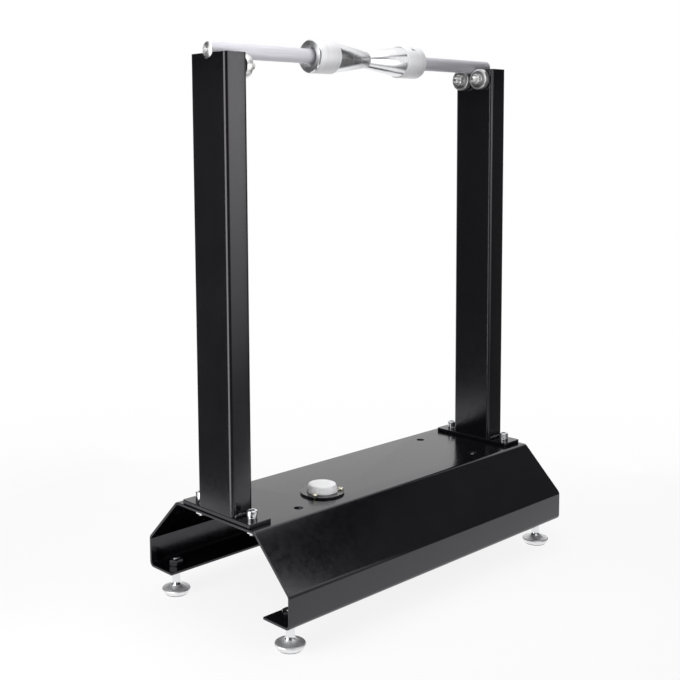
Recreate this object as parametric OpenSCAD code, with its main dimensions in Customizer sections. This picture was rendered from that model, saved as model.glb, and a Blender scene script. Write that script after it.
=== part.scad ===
// Wheel balancing stand: a bent sheet base, two tube posts with bearings, and an axle with centring cones.
// Millimetres. X runs along the axle, -Y is the front and Z is up.
// The origin is on the floor under the middle of the base.

/* [Base] */
// Length of the base along the axle
base_l = 403; // [360:1:460]
// Width of the base over its upright sides
base_w = 204; // [190:1:240]
// Width of the flat top between its bend lines
top_w = 114; // [112:1:130]
// Thickness of the bent sheet
sheet_t = 2.5; // [2:0.5:4]
// Inner radius of the bends
bend_r = 3; // [2:0.5:5]
// Height of the upright sides, from under the flange to the lower bend
side_h = 30.5; // [24:0.5:40]
// Height of the sloped sides
slope_h = 45.5; // [36:0.5:60]
// Width of each foot flange
flange_w = 35; // [32:0.5:45]

/* [Posts] */
// Depth of the post tube across the axle
post_y = 50; // [46:1:60]
// Width of the post tube along the axle
post_x = 25; // [22:1:30]
// Wall of the post tube
tube_wall = 2; // [1.5:0.5:3]
// Outer corner radius of the post tube
tube_corner = 4; // [3.5:0.5:6]
// Height of the post tube above its plate
post_h = 413.5; // [360:0.5:480]
// Distance from the end of the base to the outer face of a post
post_setback = 1.5; // [0:0.5:10]
// Radial room around the axle in the notch of the post
notch_clear = 1; // [1:0.25:3]

/* [Foot plates] */
// Length of a foot plate across the axle
plate_y = 98; // [92:1:104]
// Width of a foot plate along the axle
plate_x = 26; // [25:1:40]
// Thickness of a foot plate
plate_t = 4; // [3:0.5:8]
// Corner radius of a foot plate
plate_corner = 2; // [1:0.5:4]
// Distance between the two screws of a plate
plate_screw_pitch = 74; // [70:1:80]
// How much closer to the middle the spare pair of holes lies
spare_shift = 57; // [40:1:80]
// Diameter of the spare holes
spare_hole_d = 8.5; // [6.5:0.5:10]

/* [Plate screws] */
// Thread diameter of the plate screws
screw_d = 6; // [5:1:8]
// Diameter of a screw head
screw_head_d = 10; // [9:0.5:14]
// Height of a screw head
screw_head_h = 6; // [5:0.5:8]
// Width across the flats of the hexagon socket
screw_socket_af = 5; // [4:0.5:6]
// Depth of the hexagon socket
screw_socket_depth = 3; // [2:0.5:4]
// Outside diameter of the spring lock washers under the heads
lock_washer_d = 10; // [9.5:0.5:11]
// Width of the slit through a spring lock washer
lock_washer_slit = 1.2; // [0.8:0.1:2]
// Outside diameter of the plain washers under the sheet
washer_d = 12; // [11:0.5:16]
// Thickness of both kinds of washer
washer_t = 1.6; // [1:0.1:2]
// Width across the flats of the nuts
nut_af = 10; // [9:0.5:13]
// Height of the nuts
nut_h = 5; // [4:0.5:7]
// Thread that stands out past a nut
thread_past_nut = 2; // [1:0.5:4]
// Radial room of a screw in its hole
hole_clear = 0.3; // [0.2:0.05:0.6]
// Radial room between mating threads
thread_clear = 0.05; // [0.02:0.01:0.1]

/* [Bearings] */
// Outside diameter of a bearing
bearing_d = 22; // [20:0.5:23]
// Width of a bearing
bearing_w = 7; // [6:0.5:9]
// Distance between the two bearings of a post
bearing_pitch = 24; // [23:0.5:26]
// Depth of the bearing centres below the top of the post
bearing_drop = 11; // [10:0.5:14]
// Thread diameter of the bearing studs
stud_d = 6; // [5:0.5:6]
// Length of stud past the outer nut
stud_tip = 5; // [1:0.5:5]
// Thickness of the spacer between a bearing and its post
spacer_t = 1.5; // [1:0.25:3]
// Outside diameter of the spacer
spacer_d = 9.4; // [8.5:0.1:10]
// Outside diameter of the inner ring
inner_ring_d = 10.6; // [10:0.1:11]
// Inside diameter of the outer ring
outer_ring_bore = 17.4; // [17:0.1:18]
// Edge chamfer of the rings
ring_chamfer = 0.4; // [0.2:0.05:0.5]
// Diameter of a ball
ball_d = 4.4; // [4.2:0.05:4.5]
// Number of balls in a bearing
ball_count = 7; // [6:1:8]
// Gap between a ball and its races
race_gap = 0.15; // [0.1:0.01:0.2]
// Gap between a ball and its cage pocket
pocket_gap = 0.1; // [0.05:0.01:0.15]
// Radial gap between the cage and each ring
cage_gap = 0.6; // [0.4:0.05:0.7]
// Thickness of a bearing shield
shield_t = 0.4; // [0.3:0.05:0.5]
// Depth of a shield below the face of its bearing
shield_inset = 0.2; // [0.1:0.05:0.3]
// Radial depth of the step that seats a shield
shield_seat = 0.3; // [0.2:0.05:0.5]
// Radial gap between a shield and the inner ring
shield_gap = 0.3; // [0.2:0.05:0.5]
// Play of a shield in its step
shield_play = 0.05; // [0.02:0.01:0.1]

/* [Axle and cones] */
// Diameter of the axle
axle_d = 14; // [12:0.5:16]
// Length of the axle
axle_l = 397; // [390:1:460]
// How far the middle of the axle lies towards the left post
axle_shift = 2; // [0:0.5:3]
// Chamfer on the ends of the axle
axle_chamfer = 1; // [0.5:0.25:2]
// Gap between the axle and the bearings under it
roll_gap = 0.3; // [0.2:0.05:0.5]
// Radial sliding room between a cone and the axle
cone_clear = 0.05; // [0.02:0.01:0.1]
// Length of the tapered part of a cone
cone_l = 48; // [40:1:60]
// Diameter of a cone at its nose
nose_d = 16.6; // [16.2:0.1:20]
// Diameter of a cone at its collar
cone_d = 30.4; // [26:0.2:30.8]
// Length of the collar
collar_l = 28.5; // [20:0.5:30]
// Diameter of the collar
collar_d = 32; // [31.5:0.5:36]
// Chamfer on the front edge of the collar
front_chamfer = 0.4; // [0.2:0.1:0.5]
// Chamfer on the back edge of the collar
back_chamfer = 1.4; // [0.5:0.1:3]
// Diameter of the recess in the back of the collar
recess_d = 20.5; // [16.5:0.5:24]
// Depth of the recess in the back of the collar
recess_depth = 5; // [0.5:0.25:5]
// Distance between the noses of the two cones
nose_gap = 1; // [1:0.5:10]
// Thread diameter of the set screws
set_screw_d = 6; // [4:0.5:8]
// Gap between a set screw and the axle
set_screw_gap = 0.1; // [0.05:0.05:0.3]
// Depth of a set screw below the surface of its collar
set_screw_sink = 0.5; // [0:0.1:1]
// Width across the flats of the socket in a set screw
set_screw_af = 3; // [2:0.5:3.5]
// Depth of the socket in a set screw
set_screw_socket = 3; // [2:0.5:4]
// Angle of the right set screw from the top towards the front
right_set_angle = 35; // [0:5:90]

/* [Level] */
// Place of the level along the axle
level_x = -83; // [-90:0.5:90]
// Place of the level across the axle
level_y = -20.5; // [-30:0.5:30]
// Diameter of the flange
level_flange_d = 43; // [43:1:46]
// Thickness of the flange
level_flange_t = 1; // [1:0.1:2]
// Diameter of the pad under the flange
level_pad_d = 30; // [26:1:31]
// Thickness of the pad
level_pad_t = 1; // [1:0.5:3]
// Diameter of the cup at its foot
level_cup_d = 30; // [29:0.5:30.5]
// Diameter of the cup at its rim
level_rim_d = 27; // [26:0.5:28]
// Height of the cup
level_cup_h = 6.5; // [4:0.5:8]
// Wall and floor of the cup
level_cup_wall = 1.5; // [1:0.25:2]
// Thickness of the window at its rim
level_rim_t = 0.8; // [0.5:0.1:2]
// Rise of the window's dome
level_dome_h = 1.3; // [1:0.1:3]
// Gap between the fluid and what holds it
fluid_gap = 0.05; // [0.02:0.01:0.1]
// Diameter of the bubble
bubble_d = 8; // [6:0.5:10]
// Depth of the bubble
bubble_h = 1; // [0.6:0.1:1.5]
// Diameter of the circle of level screws
level_screw_circle = 36.4; // [36.4:0.2:37]
// Angle of the first level screw
level_screw_angle = 83; // [0:1:359]
// Thread diameter of the level screws
level_screw_d = 3; // [2.5:0.5:3]
// Diameter of the level screw heads
level_head_d = 5.6; // [4.6:0.2:5.8]
// Height of the level screw heads
level_head_h = 2.4; // [1.5:0.1:3]

/* [Feet] */
// Height of the flanges above the floor
foot_h = 26.5; // [26:0.5:40]
// Distance of a foot from the end of the base
foot_end_inset = 17.5; // [15:0.5:40]
// Distance of a foot from the side of the base
foot_side_inset = 19; // [17:0.5:22]
// Diameter of a foot disc
foot_d = 28; // [26:1:32]
// Diameter of a foot disc at the floor
foot_base_d = 24.4; // [24:0.2:28]
// Height of a foot disc
foot_disc_h = 9.5; // [8:0.5:14]
// Height of the lower flare of a foot disc
foot_flare_h = 5; // [4:0.5:6]
// Height of the upright rim of a foot disc
foot_rim_h = 0.8; // [0.5:0.1:1.5]
// Diameter of the neck of a foot disc
foot_neck_d = 10.6; // [9:0.2:14]
// Diameter of the pad under a foot
foot_pad_d = 22; // [20:0.5:23]
// Thickness of the pad under a foot
foot_pad_t = 2.5; // [2:0.25:3]
// How far the pad stands out under the disc
foot_pad_proud = 0.8; // [0.5:0.1:1.5]
// Thread diameter of a foot stud
foot_stud_d = 8; // [6:0.5:8]
// Length of stud above its nut
foot_stud_tip = 1; // [0:0.5:12]
// Height of the tapered root of a foot stud
foot_root_h = 2; // [1:0.5:4]
// Diameter of the spigot that holds a stud in its disc
foot_spigot_d = 6; // [5:0.5:6.5]
// Width across the flats of a foot nut
foot_nut_af = 13; // [12:0.5:16]
// Height of a foot nut
foot_nut_h = 6.5; // [5:0.5:8]

/* [Hidden] */
$fn = 64;
cap_segments = 360;
hexagon = 6;
// How far a cutting shape runs past the face that it cuts
cut = 1;

left = -1;
right = 1;
front = -1;
back = 1;
CORNERS = [
    ["left_front", left, front],
    ["left_back", left, back],
    ["right_front", right, front],
    ["right_back", right, back]
];

// Heights
base_top = foot_h + side_h + slope_h;
sheet_under = base_top - sheet_t;
plate_top = base_top + plate_t;
post_top = plate_top + post_h;
bearing_z = post_top - bearing_drop;
roll_distance = (bearing_d + axle_d) / 2 + roll_gap;
axle_z = bearing_z + sqrt(pow(roll_distance, 2) - pow(bearing_pitch / 2, 2));

// Places along the axle, on the right-hand side
post_out = base_l / 2 - post_setback;
post_in = post_out - post_x;
post_mid = post_out - post_x / 2;
plate_mid = post_out - plate_x / 2;
spare_mid = plate_mid - spare_shift;
spacer_in = post_in - spacer_t;
bearing_mid = spacer_in - bearing_w / 2;
bearing_in = spacer_in - bearing_w;
stud_end_in = bearing_in - nut_h - stud_tip;
stud_end_out = post_in + tube_wall + nut_h + thread_past_nut;

// Plate screws
screw_under_head = plate_top + washer_t;
screw_end = sheet_under - washer_t - nut_h - thread_past_nut;
screw_hole_r = screw_d / 2 + hole_clear;

// Bearing insides
race_mid_r = (inner_ring_d + outer_ring_bore) / 4;
race_r = ball_d / 2 + race_gap;
shield_face = bearing_w / 2 - shield_inset;
shield_back = shield_face - shield_t;
shield_seat_r = outer_ring_bore / 2 + shield_seat;
cage_half = shield_back - race_gap;

// Cones
nose_x = nose_gap / 2;
collar_x = nose_x + cone_l;
cone_end = collar_x + collar_l;
set_screw_x = collar_x + collar_l / 2;
set_screw_foot = axle_d / 2 + set_screw_gap;
set_screw_top = collar_d / 2 - set_screw_sink;

// Level
level_flange_z = base_top + level_pad_t;
level_cup_z = level_flange_z + level_flange_t;
level_lens_z = level_cup_z + level_cup_h;
level_bore_r = level_rim_d / 2 - level_cup_wall;
level_dome_r = (pow(level_rim_d / 2, 2) + pow(level_dome_h, 2)) / (2 * level_dome_h);
bubble_r = (pow(bubble_d / 2, 2) + pow(bubble_h, 2)) / (2 * bubble_h);
bubble_z = level_lens_z - fluid_gap;

// Feet
foot_x = base_l / 2 - foot_end_inset;
foot_y = base_w / 2 - foot_side_inset;
foot_stud_top = foot_h + sheet_t + foot_nut_h + foot_stud_tip;
foot_root_top = foot_disc_h + foot_root_h;
foot_spigot_end = foot_pad_t + thread_clear;

// Colours
black_paint = [0.05, 0.05, 0.055];
zinc = [0.75, 0.76, 0.78];
steel = [0.6, 0.61, 0.63];
chrome = [0.82, 0.83, 0.85];
alloy = [0.8, 0.81, 0.83];
brass = [0.72, 0.58, 0.3];
rubber = [0.09, 0.09, 0.09];
white_plastic = [0.93, 0.93, 0.92];
clear_plastic = [0.9, 0.93, 0.95];
clear_fluid = [0.92, 0.95, 0.9];

// Shared shapes

function edge_normal(a, b) = [b[1] - a[1], a[0] - b[0]] / norm(b - a);
function bend_centre(p, n1, n2, r) = p - (n1 + n2) * r / (1 + n1 * n2);
function rectangle(w, h) = [[w, -h] / 2, [w, h] / 2, [-w, h] / 2, [-w, -h] / 2];
function corner_r(af) = af / 2 / cos(30);

// An outline with every corner rounded; a smaller r gives the outline inside it,
// with its corners turned about the same centres
module rounded_outline(points, bend, r) {
    n = len(points);
    normals = [for (i = [0:n - 1]) edge_normal(points[i], points[(i + 1) % n])];
    centres = [for (i = [0:n - 1]) bend_centre(points[i], normals[(i + n - 1) % n], normals[i], bend)];
    polygon([for (i = [0:n - 1], k = [n - 1, n]) centres[i] + r * normals[(i + k) % n]]);
    for (c = centres) translate(c) circle(r);
}

// A child drawn on the right, placed on the side asked for
module on_side(side) {
    if (side == right) children();
    else mirror([1, 0, 0]) children();
}

// A child drawn along +Z, laid along +X
module along_x() {
    rotate([0, 90, 0]) children();
}

// A profile drawn with the radius across and X up, turned about the X axis
module turned_about_x() {
    along_x() rotate_extrude() children();
}

module ring(outer_r, inner_r, height) {
    difference() {
        cylinder(r = outer_r, h = height);
        translate([0, 0, -cut]) cylinder(r = inner_r, h = height + 2 * cut);
    }
}

module hex_nut(af, height, bore_r) {
    difference() {
        cylinder(r = corner_r(af), h = height, $fn = hexagon);
        translate([0, 0, -cut]) cylinder(r = bore_r, h = height + 2 * cut);
    }
}

// The four places where a plate screw goes through the base
module at_plate_screws() {
    for (x = [-plate_mid, plate_mid], y = [-1, 1]) translate([x, y * plate_screw_pitch / 2, 0]) children();
}

module at_spare_holes() {
    for (x = [-spare_mid, spare_mid], y = [-1, 1]) translate([x, y * plate_screw_pitch / 2, 0]) children();
}

module at_level_screws() {
    for (i = [0:2]) {
        translate([level_x, level_y, 0]) rotate(level_screw_angle + 120 * i)
            translate([level_screw_circle / 2, 0, 0]) children();
    }
}

module at_foot(corner) {
    translate([corner[1] * foot_x, corner[2] * foot_y, 0]) children();
}

// A child drawn on the X axis, put at one bearing
module at_bearing(corner) {
    on_side(corner[1]) translate([0, corner[2] * bearing_pitch / 2, bearing_z]) children();
}

// Frame

module sheet_section() {
    bend = bend_r + sheet_t;
    bend_z = foot_h + side_h;
    outline = [
        [base_w / 2, foot_h], [base_w / 2, bend_z], [top_w / 2, base_top],
        [-top_w / 2, base_top], [-base_w / 2, bend_z], [-base_w / 2, foot_h]
    ];
    difference() {
        rounded_outline(outline, bend, bend);
        rounded_outline(outline, bend, bend_r);
        translate([flange_w - base_w / 2, foot_h - cut]) square([base_w - 2 * flange_w, sheet_t + 2 * cut]);
    }
}

module base_sheet() {
    color(black_paint) difference() {
        rotate([90, 0, 90]) translate([0, 0, -base_l / 2]) linear_extrude(base_l) sheet_section();
        translate([0, 0, sheet_under - cut]) {
            at_plate_screws() cylinder(r = screw_hole_r, h = sheet_t + 2 * cut);
            at_spare_holes() cylinder(d = spare_hole_d, h = sheet_t + 2 * cut);
            at_level_screws() cylinder(r = level_screw_d / 2 + thread_clear, h = sheet_t + 2 * cut);
        }
        for (c = CORNERS) {
            at_foot(c) translate([0, 0, foot_h - cut])
                cylinder(r = foot_stud_d / 2 + hole_clear, h = sheet_t + 2 * cut);
        }
    }
}

module post(side) {
    section = rectangle(post_x, post_y);
    color(black_paint) on_side(side) difference() {
        translate([post_mid, 0, plate_top]) linear_extrude(post_h) difference() {
            rounded_outline(section, tube_corner, tube_corner);
            rounded_outline(section, tube_corner, tube_corner - tube_wall);
        }
        translate([post_in - cut, 0, axle_z]) along_x()
            cylinder(r = axle_d / 2 + notch_clear, h = post_x + 2 * cut);
        for (y = [-1, 1]) {
            translate([post_in - cut, y * bearing_pitch / 2, bearing_z]) along_x()
                cylinder(r = stud_d / 2 + hole_clear, h = tube_wall + 2 * cut);
        }
    }
}

module foot_plate(side) {
    color(black_paint) on_side(side) difference() {
        translate([plate_mid, 0, base_top]) linear_extrude(plate_t)
            rounded_outline(rectangle(plate_x, plate_y), plate_corner, plate_corner);
        translate([0, 0, base_top - cut]) at_plate_screws() cylinder(r = screw_hole_r, h = plate_t + 2 * cut);
    }
}

// Plate screws

module plate_screws() {
    color(zinc) at_plate_screws() difference() {
        union() {
            translate([0, 0, screw_under_head]) cylinder(d = screw_head_d, h = screw_head_h);
            translate([0, 0, screw_end]) cylinder(d = screw_d, h = screw_under_head - screw_end);
        }
        translate([0, 0, screw_under_head + screw_head_h - screw_socket_depth])
            cylinder(r = corner_r(screw_socket_af), h = screw_socket_depth + cut, $fn = hexagon);
    }
}

module plate_washers() {
    color(zinc) at_plate_screws() translate([0, 0, plate_top]) difference() {
        ring(lock_washer_d / 2, screw_hole_r, washer_t);
        translate([0, -lock_washer_slit / 2, -cut])
            cube([lock_washer_d, lock_washer_slit, washer_t + 2 * cut]);
    }
}

module underside_washers() {
    color(zinc) at_plate_screws()
        translate([0, 0, sheet_under - washer_t]) ring(washer_d / 2, screw_hole_r, washer_t);
}

module underside_nuts() {
    color(zinc) at_plate_screws()
        translate([0, 0, sheet_under - washer_t - nut_h]) hex_nut(nut_af, nut_h, screw_d / 2 + thread_clear);
}

// Bearings and what carries them

module bearing_studs() {
    color(steel) for (c = CORNERS) {
        at_bearing(c) translate([stud_end_in, 0, 0]) along_x()
            cylinder(d = stud_d, h = stud_end_out - stud_end_in);
    }
}

module stud_inner_nuts() {
    color(zinc) for (c = CORNERS) {
        at_bearing(c) translate([post_in + tube_wall, 0, 0]) along_x()
            hex_nut(nut_af, nut_h, stud_d / 2 + thread_clear);
    }
}

module bearing_spacers() {
    color(zinc) for (c = CORNERS) {
        at_bearing(c) translate([spacer_in, 0, 0]) along_x()
            ring(spacer_d / 2, stud_d / 2 + thread_clear, spacer_t);
    }
}

module bearing_nuts() {
    color(zinc) for (c = CORNERS) {
        at_bearing(c) translate([bearing_in - nut_h, 0, 0]) along_x()
            hex_nut(nut_af, nut_h, stud_d / 2 + thread_clear);
    }
}

module race_groove() {
    translate([race_mid_r, 0]) circle(race_r);
}

module bearing_inner_rings() {
    bore_r = stud_d / 2 + thread_clear;
    color(steel) for (c = CORNERS) {
        at_bearing(c) translate([bearing_mid, 0, 0]) turned_about_x() difference() {
            translate([bore_r, -bearing_w / 2]) square([inner_ring_d / 2 - bore_r, bearing_w]);
            race_groove();
        }
    }
}

module outer_ring(corner) {
    half = bearing_w / 2;
    rim = bearing_d / 2;
    land = outer_ring_bore / 2;
    color(steel) at_bearing(corner) translate([bearing_mid, 0, 0]) turned_about_x() difference() {
        polygon([
            [land, -shield_back], [shield_seat_r, -shield_back], [shield_seat_r, -half],
            [rim - ring_chamfer, -half], [rim, ring_chamfer - half],
            [rim, half - ring_chamfer], [rim - ring_chamfer, half],
            [shield_seat_r, half], [shield_seat_r, shield_back], [land, shield_back]
        ]);
        race_groove();
    }
}

module shields(corner) {
    color(steel) at_bearing(corner) translate([bearing_mid, 0, 0]) {
        for (x = [-shield_face, shield_back]) {
            translate([x, 0, 0]) along_x()
                ring(shield_seat_r - shield_play, inner_ring_d / 2 + shield_gap, shield_t);
        }
    }
}

module at_balls() {
    for (i = [0:ball_count - 1]) {
        rotate([i * 360 / ball_count, 0, 0]) translate([0, 0, race_mid_r]) children();
    }
}

module cage(corner) {
    color(brass) at_bearing(corner) translate([bearing_mid, 0, 0]) difference() {
        translate([-cage_half, 0, 0]) along_x()
            ring(outer_ring_bore / 2 - cage_gap, inner_ring_d / 2 + cage_gap, 2 * cage_half);
        at_balls() sphere(ball_d / 2 + pocket_gap);
    }
}

module balls(corner) {
    color(chrome) at_bearing(corner) translate([bearing_mid, 0, 0]) at_balls() sphere(d = ball_d);
}

// Axle and cones

module axle() {
    r = axle_d / 2;
    half = axle_l / 2;
    color(alloy) translate([-axle_shift, 0, axle_z]) turned_about_x() polygon([
        [0, -half], [r - axle_chamfer, -half], [r, axle_chamfer - half],
        [r, half - axle_chamfer], [r - axle_chamfer, half], [0, half]
    ]);
}

// The place of a set screw: on the axle's line, turned from the top towards the front
module at_set_screw(angle) {
    translate([set_screw_x, 0, axle_z]) rotate([angle, 0, 0]) children();
}

module cone(side, angle) {
    bore = axle_d / 2 + cone_clear;
    rim = collar_d / 2;
    color(alloy) on_side(side) difference() {
        translate([0, 0, axle_z]) turned_about_x() polygon([
            [bore, nose_x], [nose_d / 2, nose_x], [cone_d / 2, collar_x],
            [rim - front_chamfer, collar_x], [rim, collar_x + front_chamfer],
            [rim, cone_end - back_chamfer], [rim - back_chamfer, cone_end],
            [recess_d / 2, cone_end], [recess_d / 2, cone_end - recess_depth], [bore, cone_end - recess_depth]
        ]);
        at_set_screw(angle) cylinder(r = set_screw_d / 2 + thread_clear, h = rim + cut);
    }
}

module set_screw(side, angle) {
    color(steel) on_side(side) at_set_screw(angle) difference() {
        translate([0, 0, set_screw_foot]) cylinder(d = set_screw_d, h = set_screw_top - set_screw_foot);
        translate([0, 0, set_screw_top - set_screw_socket])
            cylinder(r = corner_r(set_screw_af), h = set_screw_socket + cut, $fn = hexagon);
    }
}

// Level

module at_level(z) {
    translate([level_x, level_y, z]) children();
}

// A shallow cap of a ball, its flat face down on the origin
module ball_cap(ball_r, height) {
    rotate_extrude() intersection() {
        translate([0, height - ball_r]) circle(ball_r, $fn = cap_segments);
        square([ball_r, height]);
    }
}

module level_pad() {
    color(rubber) at_level(base_top) cylinder(d = level_pad_d, h = level_pad_t);
}

module level_flange() {
    color(chrome) difference() {
        at_level(level_flange_z) cylinder(d = level_flange_d, h = level_flange_t);
        at_level_screws() translate([0, 0, level_flange_z - cut])
            cylinder(r = level_screw_d / 2 + thread_clear, h = level_flange_t + 2 * cut);
    }
}

module level_cup() {
    color(white_plastic) at_level(level_cup_z) difference() {
        cylinder(d1 = level_cup_d, d2 = level_rim_d, h = level_cup_h);
        translate([0, 0, level_cup_wall]) cylinder(r = level_bore_r, h = level_cup_h);
    }
}

module bubble_shape(extra) {
    translate([0, 0, bubble_z]) mirror([0, 0, 1]) ball_cap(bubble_r + extra, bubble_h + extra);
}

module level_fluid() {
    floor_z = level_cup_z + level_cup_wall + fluid_gap;
    color(clear_fluid) difference() {
        at_level(floor_z) cylinder(r = level_bore_r - fluid_gap, h = bubble_z - floor_z);
        at_level(0) bubble_shape(fluid_gap);
    }
}

module level_bubble() {
    color(clear_plastic) at_level(0) bubble_shape(0);
}

module level_window() {
    color(clear_plastic) at_level(level_lens_z) union() {
        cylinder(d = level_rim_d, h = level_rim_t);
        translate([0, 0, level_rim_t]) ball_cap(level_dome_r, level_dome_h);
    }
}

module level_screws() {
    color(zinc) at_level_screws() {
        translate([0, 0, level_cup_z]) cylinder(d = level_head_d, h = level_head_h);
        translate([0, 0, sheet_under]) cylinder(d = level_screw_d, h = level_cup_z - sheet_under);
    }
}

// Feet

module foot_nuts() {
    color(zinc) for (c = CORNERS) {
        at_foot(c) translate([0, 0, foot_h + sheet_t])
            hex_nut(foot_nut_af, foot_nut_h, foot_stud_d / 2 + thread_clear);
    }
}

module foot_disc(corner) {
    rim_z = foot_flare_h + foot_rim_h;
    dome_r = (foot_d - foot_neck_d) / 2;
    dome_h = foot_disc_h - rim_z;
    dome_steps = 8;
    dome = [for (i = [0:dome_steps]) let (a = 90 * i / dome_steps)
        [foot_d / 2 - dome_r * sin(a), rim_z + dome_h * (1 - cos(a))]];
    color(chrome) at_foot(corner) rotate_extrude() polygon(concat(
        [[foot_spigot_d / 2 + thread_clear, foot_pad_t], [foot_pad_d / 2 + thread_clear, foot_pad_t],
            [foot_pad_d / 2 + thread_clear, foot_pad_proud], [foot_base_d / 2, foot_pad_proud],
            [foot_d / 2, foot_flare_h]],
        dome,
        [[foot_spigot_d / 2 + thread_clear, foot_disc_h]]
    ));
}

module foot_pad(corner) {
    color(rubber) at_foot(corner) cylinder(d = foot_pad_d, h = foot_pad_t);
}

module foot_stud(corner) {
    color(chrome) at_foot(corner) union() {
        translate([0, 0, foot_spigot_end]) cylinder(d = foot_spigot_d, h = foot_disc_h - foot_spigot_end);
        translate([0, 0, foot_disc_h]) cylinder(d1 = foot_neck_d, d2 = foot_stud_d, h = foot_root_h);
        translate([0, 0, foot_root_top]) cylinder(d = foot_stud_d, h = foot_stud_top - foot_root_top);
    }
}

base_sheet();
post(left);  // left_post
post(right);  // right_post
foot_plate(left);  // left_foot_plate
foot_plate(right);  // right_foot_plate
plate_screws();
plate_washers();
underside_washers();
underside_nuts();
bearing_studs();
stud_inner_nuts();
bearing_spacers();
bearing_inner_rings();
bearing_nuts();
level_pad();
level_flange();
level_cup();
level_fluid();
level_bubble();
level_window();
level_screws();
foot_nuts();
axle();
cone(left, 0);  // left_cone
cone(right, right_set_angle);  // right_cone
set_screw(left, 0);  // left_set_screw
set_screw(right, right_set_angle);  // right_set_screw
for (c = CORNERS) {
    outer_ring(c);
    shields(c);
    cage(c);
    balls(c);
    foot_disc(c);
    foot_pad(c);
    foot_stud(c);
}
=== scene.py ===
# %% [markdown]
# # Wheel balancing stand
# A stand for balancing motorcycle wheels: a folded sheet base, two tube posts, and an axle that rolls on
# four ball bearings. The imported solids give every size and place, so this lesson only adds what the eye
# looks for: softened edges, threads, welds, chamfered nuts, turned metal and a glossy black coat.
# The solids come in metres and are never moved. Their box is kept, so that the dressed stand can be held
# to it.

# %% Load the frame
import math

import bmesh
import bpy
from mathutils import Matrix, Vector


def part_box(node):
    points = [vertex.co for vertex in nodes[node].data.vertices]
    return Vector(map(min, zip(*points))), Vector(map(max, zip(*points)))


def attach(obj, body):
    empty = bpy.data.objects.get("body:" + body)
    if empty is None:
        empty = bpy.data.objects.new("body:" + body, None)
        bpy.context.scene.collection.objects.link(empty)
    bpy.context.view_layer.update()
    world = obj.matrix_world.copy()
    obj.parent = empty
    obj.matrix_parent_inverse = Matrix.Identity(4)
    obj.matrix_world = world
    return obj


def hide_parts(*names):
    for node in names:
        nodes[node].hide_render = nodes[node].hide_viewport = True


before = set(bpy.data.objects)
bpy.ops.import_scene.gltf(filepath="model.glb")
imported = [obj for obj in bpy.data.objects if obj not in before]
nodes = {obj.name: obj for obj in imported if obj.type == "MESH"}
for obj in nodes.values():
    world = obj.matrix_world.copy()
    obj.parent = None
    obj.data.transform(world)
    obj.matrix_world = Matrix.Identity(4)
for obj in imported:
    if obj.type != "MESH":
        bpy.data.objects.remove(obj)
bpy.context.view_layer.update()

# %% [markdown]
# ## Camera
# The photograph was taken from the near post's front corner, a little below the posts' tops, with a
# normal lens. A camera could be placed by eye, but fitting one to the edges of the posts and the base
# gives its place, its turn and its lens together. The picture is a crop whose centre isn't the lens's, so
# the sensor is shifted by the difference.

# %% Camera
SIDE_PX = 680
FOCAL_PX = 1082.55
CENTRE_PX = (292.1, 255.2)
CAMERA_PLACE = Vector((-0.79734, -0.75433, 0.43805))
yaw, pitch, roll = (math.radians(a) for a in (47.2965, 5.763, -0.4996))

forward = Vector((math.cos(pitch) * math.cos(yaw), math.cos(pitch) * math.sin(yaw), -math.sin(pitch)))
level_right = Vector((math.sin(yaw), -math.cos(yaw), 0))
level_up = level_right.cross(forward)
right = level_right * math.cos(roll) + level_up * math.sin(roll)
up = level_up * math.cos(roll) - level_right * math.sin(roll)

camera = bpy.data.objects.new("camera", bpy.data.cameras.new("camera"))
bpy.context.scene.collection.objects.link(camera)
turned = Matrix((right, up, -forward)).transposed().to_4x4()
camera.matrix_world = Matrix.Translation(CAMERA_PLACE) @ turned
camera.data.sensor_width = 36
camera.data.lens = FOCAL_PX * camera.data.sensor_width / SIDE_PX
camera.data.shift_x = 0.5 - CENTRE_PX[0] / SIDE_PX
camera.data.shift_y = CENTRE_PX[1] / SIDE_PX - 0.5
bpy.context.scene.camera = camera
bpy.context.scene.view_settings.view_transform = "Standard"
print("lens:", round(camera.data.lens, 1), "mm")

# %% [markdown]
# ## Finishes
# Each finish is a Principled surface with something of the real one's unevenness: noise on the piece's
# own coordinates changes its colour, its roughness and its relief. A few small helpers keep every recipe
# short. A value that is the same all over sits on the surface's own socket, and only what varies is wired
# in.

# %% Helpers for finishes
MM = 0.001
MASK_LOW, MASK_HIGH = 0.3, 0.7


def set_values(node, values):
    """Put plain values on a node's sockets."""
    for key, value in values.items():
        node.inputs[key.replace("_", " ")].default_value = value


def add_node(tree, kind, operation=None, **values):
    """A new shader node with these plain values."""
    node = tree.nodes.new("ShaderNode" + kind)
    if operation:
        node.operation = operation
    set_values(node, values)
    return node


def wire(tree, *links):
    """Join shader nodes; each link is a node, its output, the next node and its input."""
    for source, output, target, socket in links:
        tree.links.new(source.outputs[output], target.inputs[socket])


def new_finish(name, colour, **values):
    """A material with one Principled surface and these plain values."""
    finish = bpy.data.materials.new(name)
    finish.use_nodes = True
    set_values(finish.node_tree.nodes["Principled BSDF"], {"Base_Color": (*colour, 1), **values})
    finish.diffuse_color = (*colour, 1)
    return finish


def mottle(finish, size, detail=2.0, stretch=(1, 1, 1)):
    """Noise with patches about this many millimetres across, drawn out where stretch is under 1."""
    tree = finish.node_tree
    place = add_node(tree, "TexCoord")
    mapping = add_node(tree, "Mapping", Scale=stretch)
    noise = add_node(tree, "TexNoise", Scale=1 / (size * MM), Detail=detail)
    wire(tree, (place, "Object", mapping, "Vector"), (mapping, "Vector", noise, "Vector"))
    return noise.outputs["Fac"]


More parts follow.
